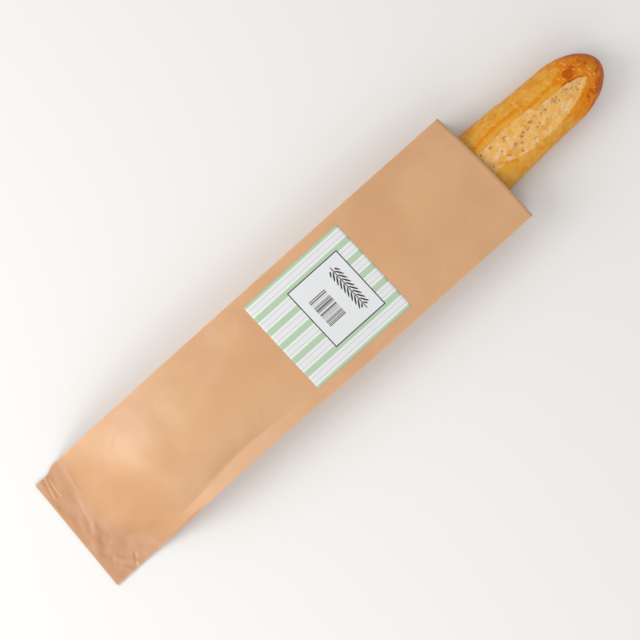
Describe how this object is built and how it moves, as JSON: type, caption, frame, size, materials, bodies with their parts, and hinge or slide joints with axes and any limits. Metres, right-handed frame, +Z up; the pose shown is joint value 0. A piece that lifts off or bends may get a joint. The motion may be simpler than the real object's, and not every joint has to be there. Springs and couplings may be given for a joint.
{
  "type": "bagged baguette",
  "caption": "Long crusty baguette in a gusseted brown paper bag with a striped label, lying flat, its tip sticking out of the open mouth.",
  "frame": {"origin": "centre of the bounding box, on the surface that the bag lies on", "axes": "+X along the loaf from the bag's bottom to the tip that sticks out, +Y across the bag, +Z up out of the labelled front panel"},
  "size_m": [0.6348, 0.12, 0.0503],
  "materials": {
    "crust": "satin",
    "kraft_paper": "matte",
    "printed_paper": "satin"
  },
  "bodies": {
    "root": {"baguette": "crust", "paper_bag": "kraft_paper", "label": "printed_paper"}
  },
  "joints": []
}
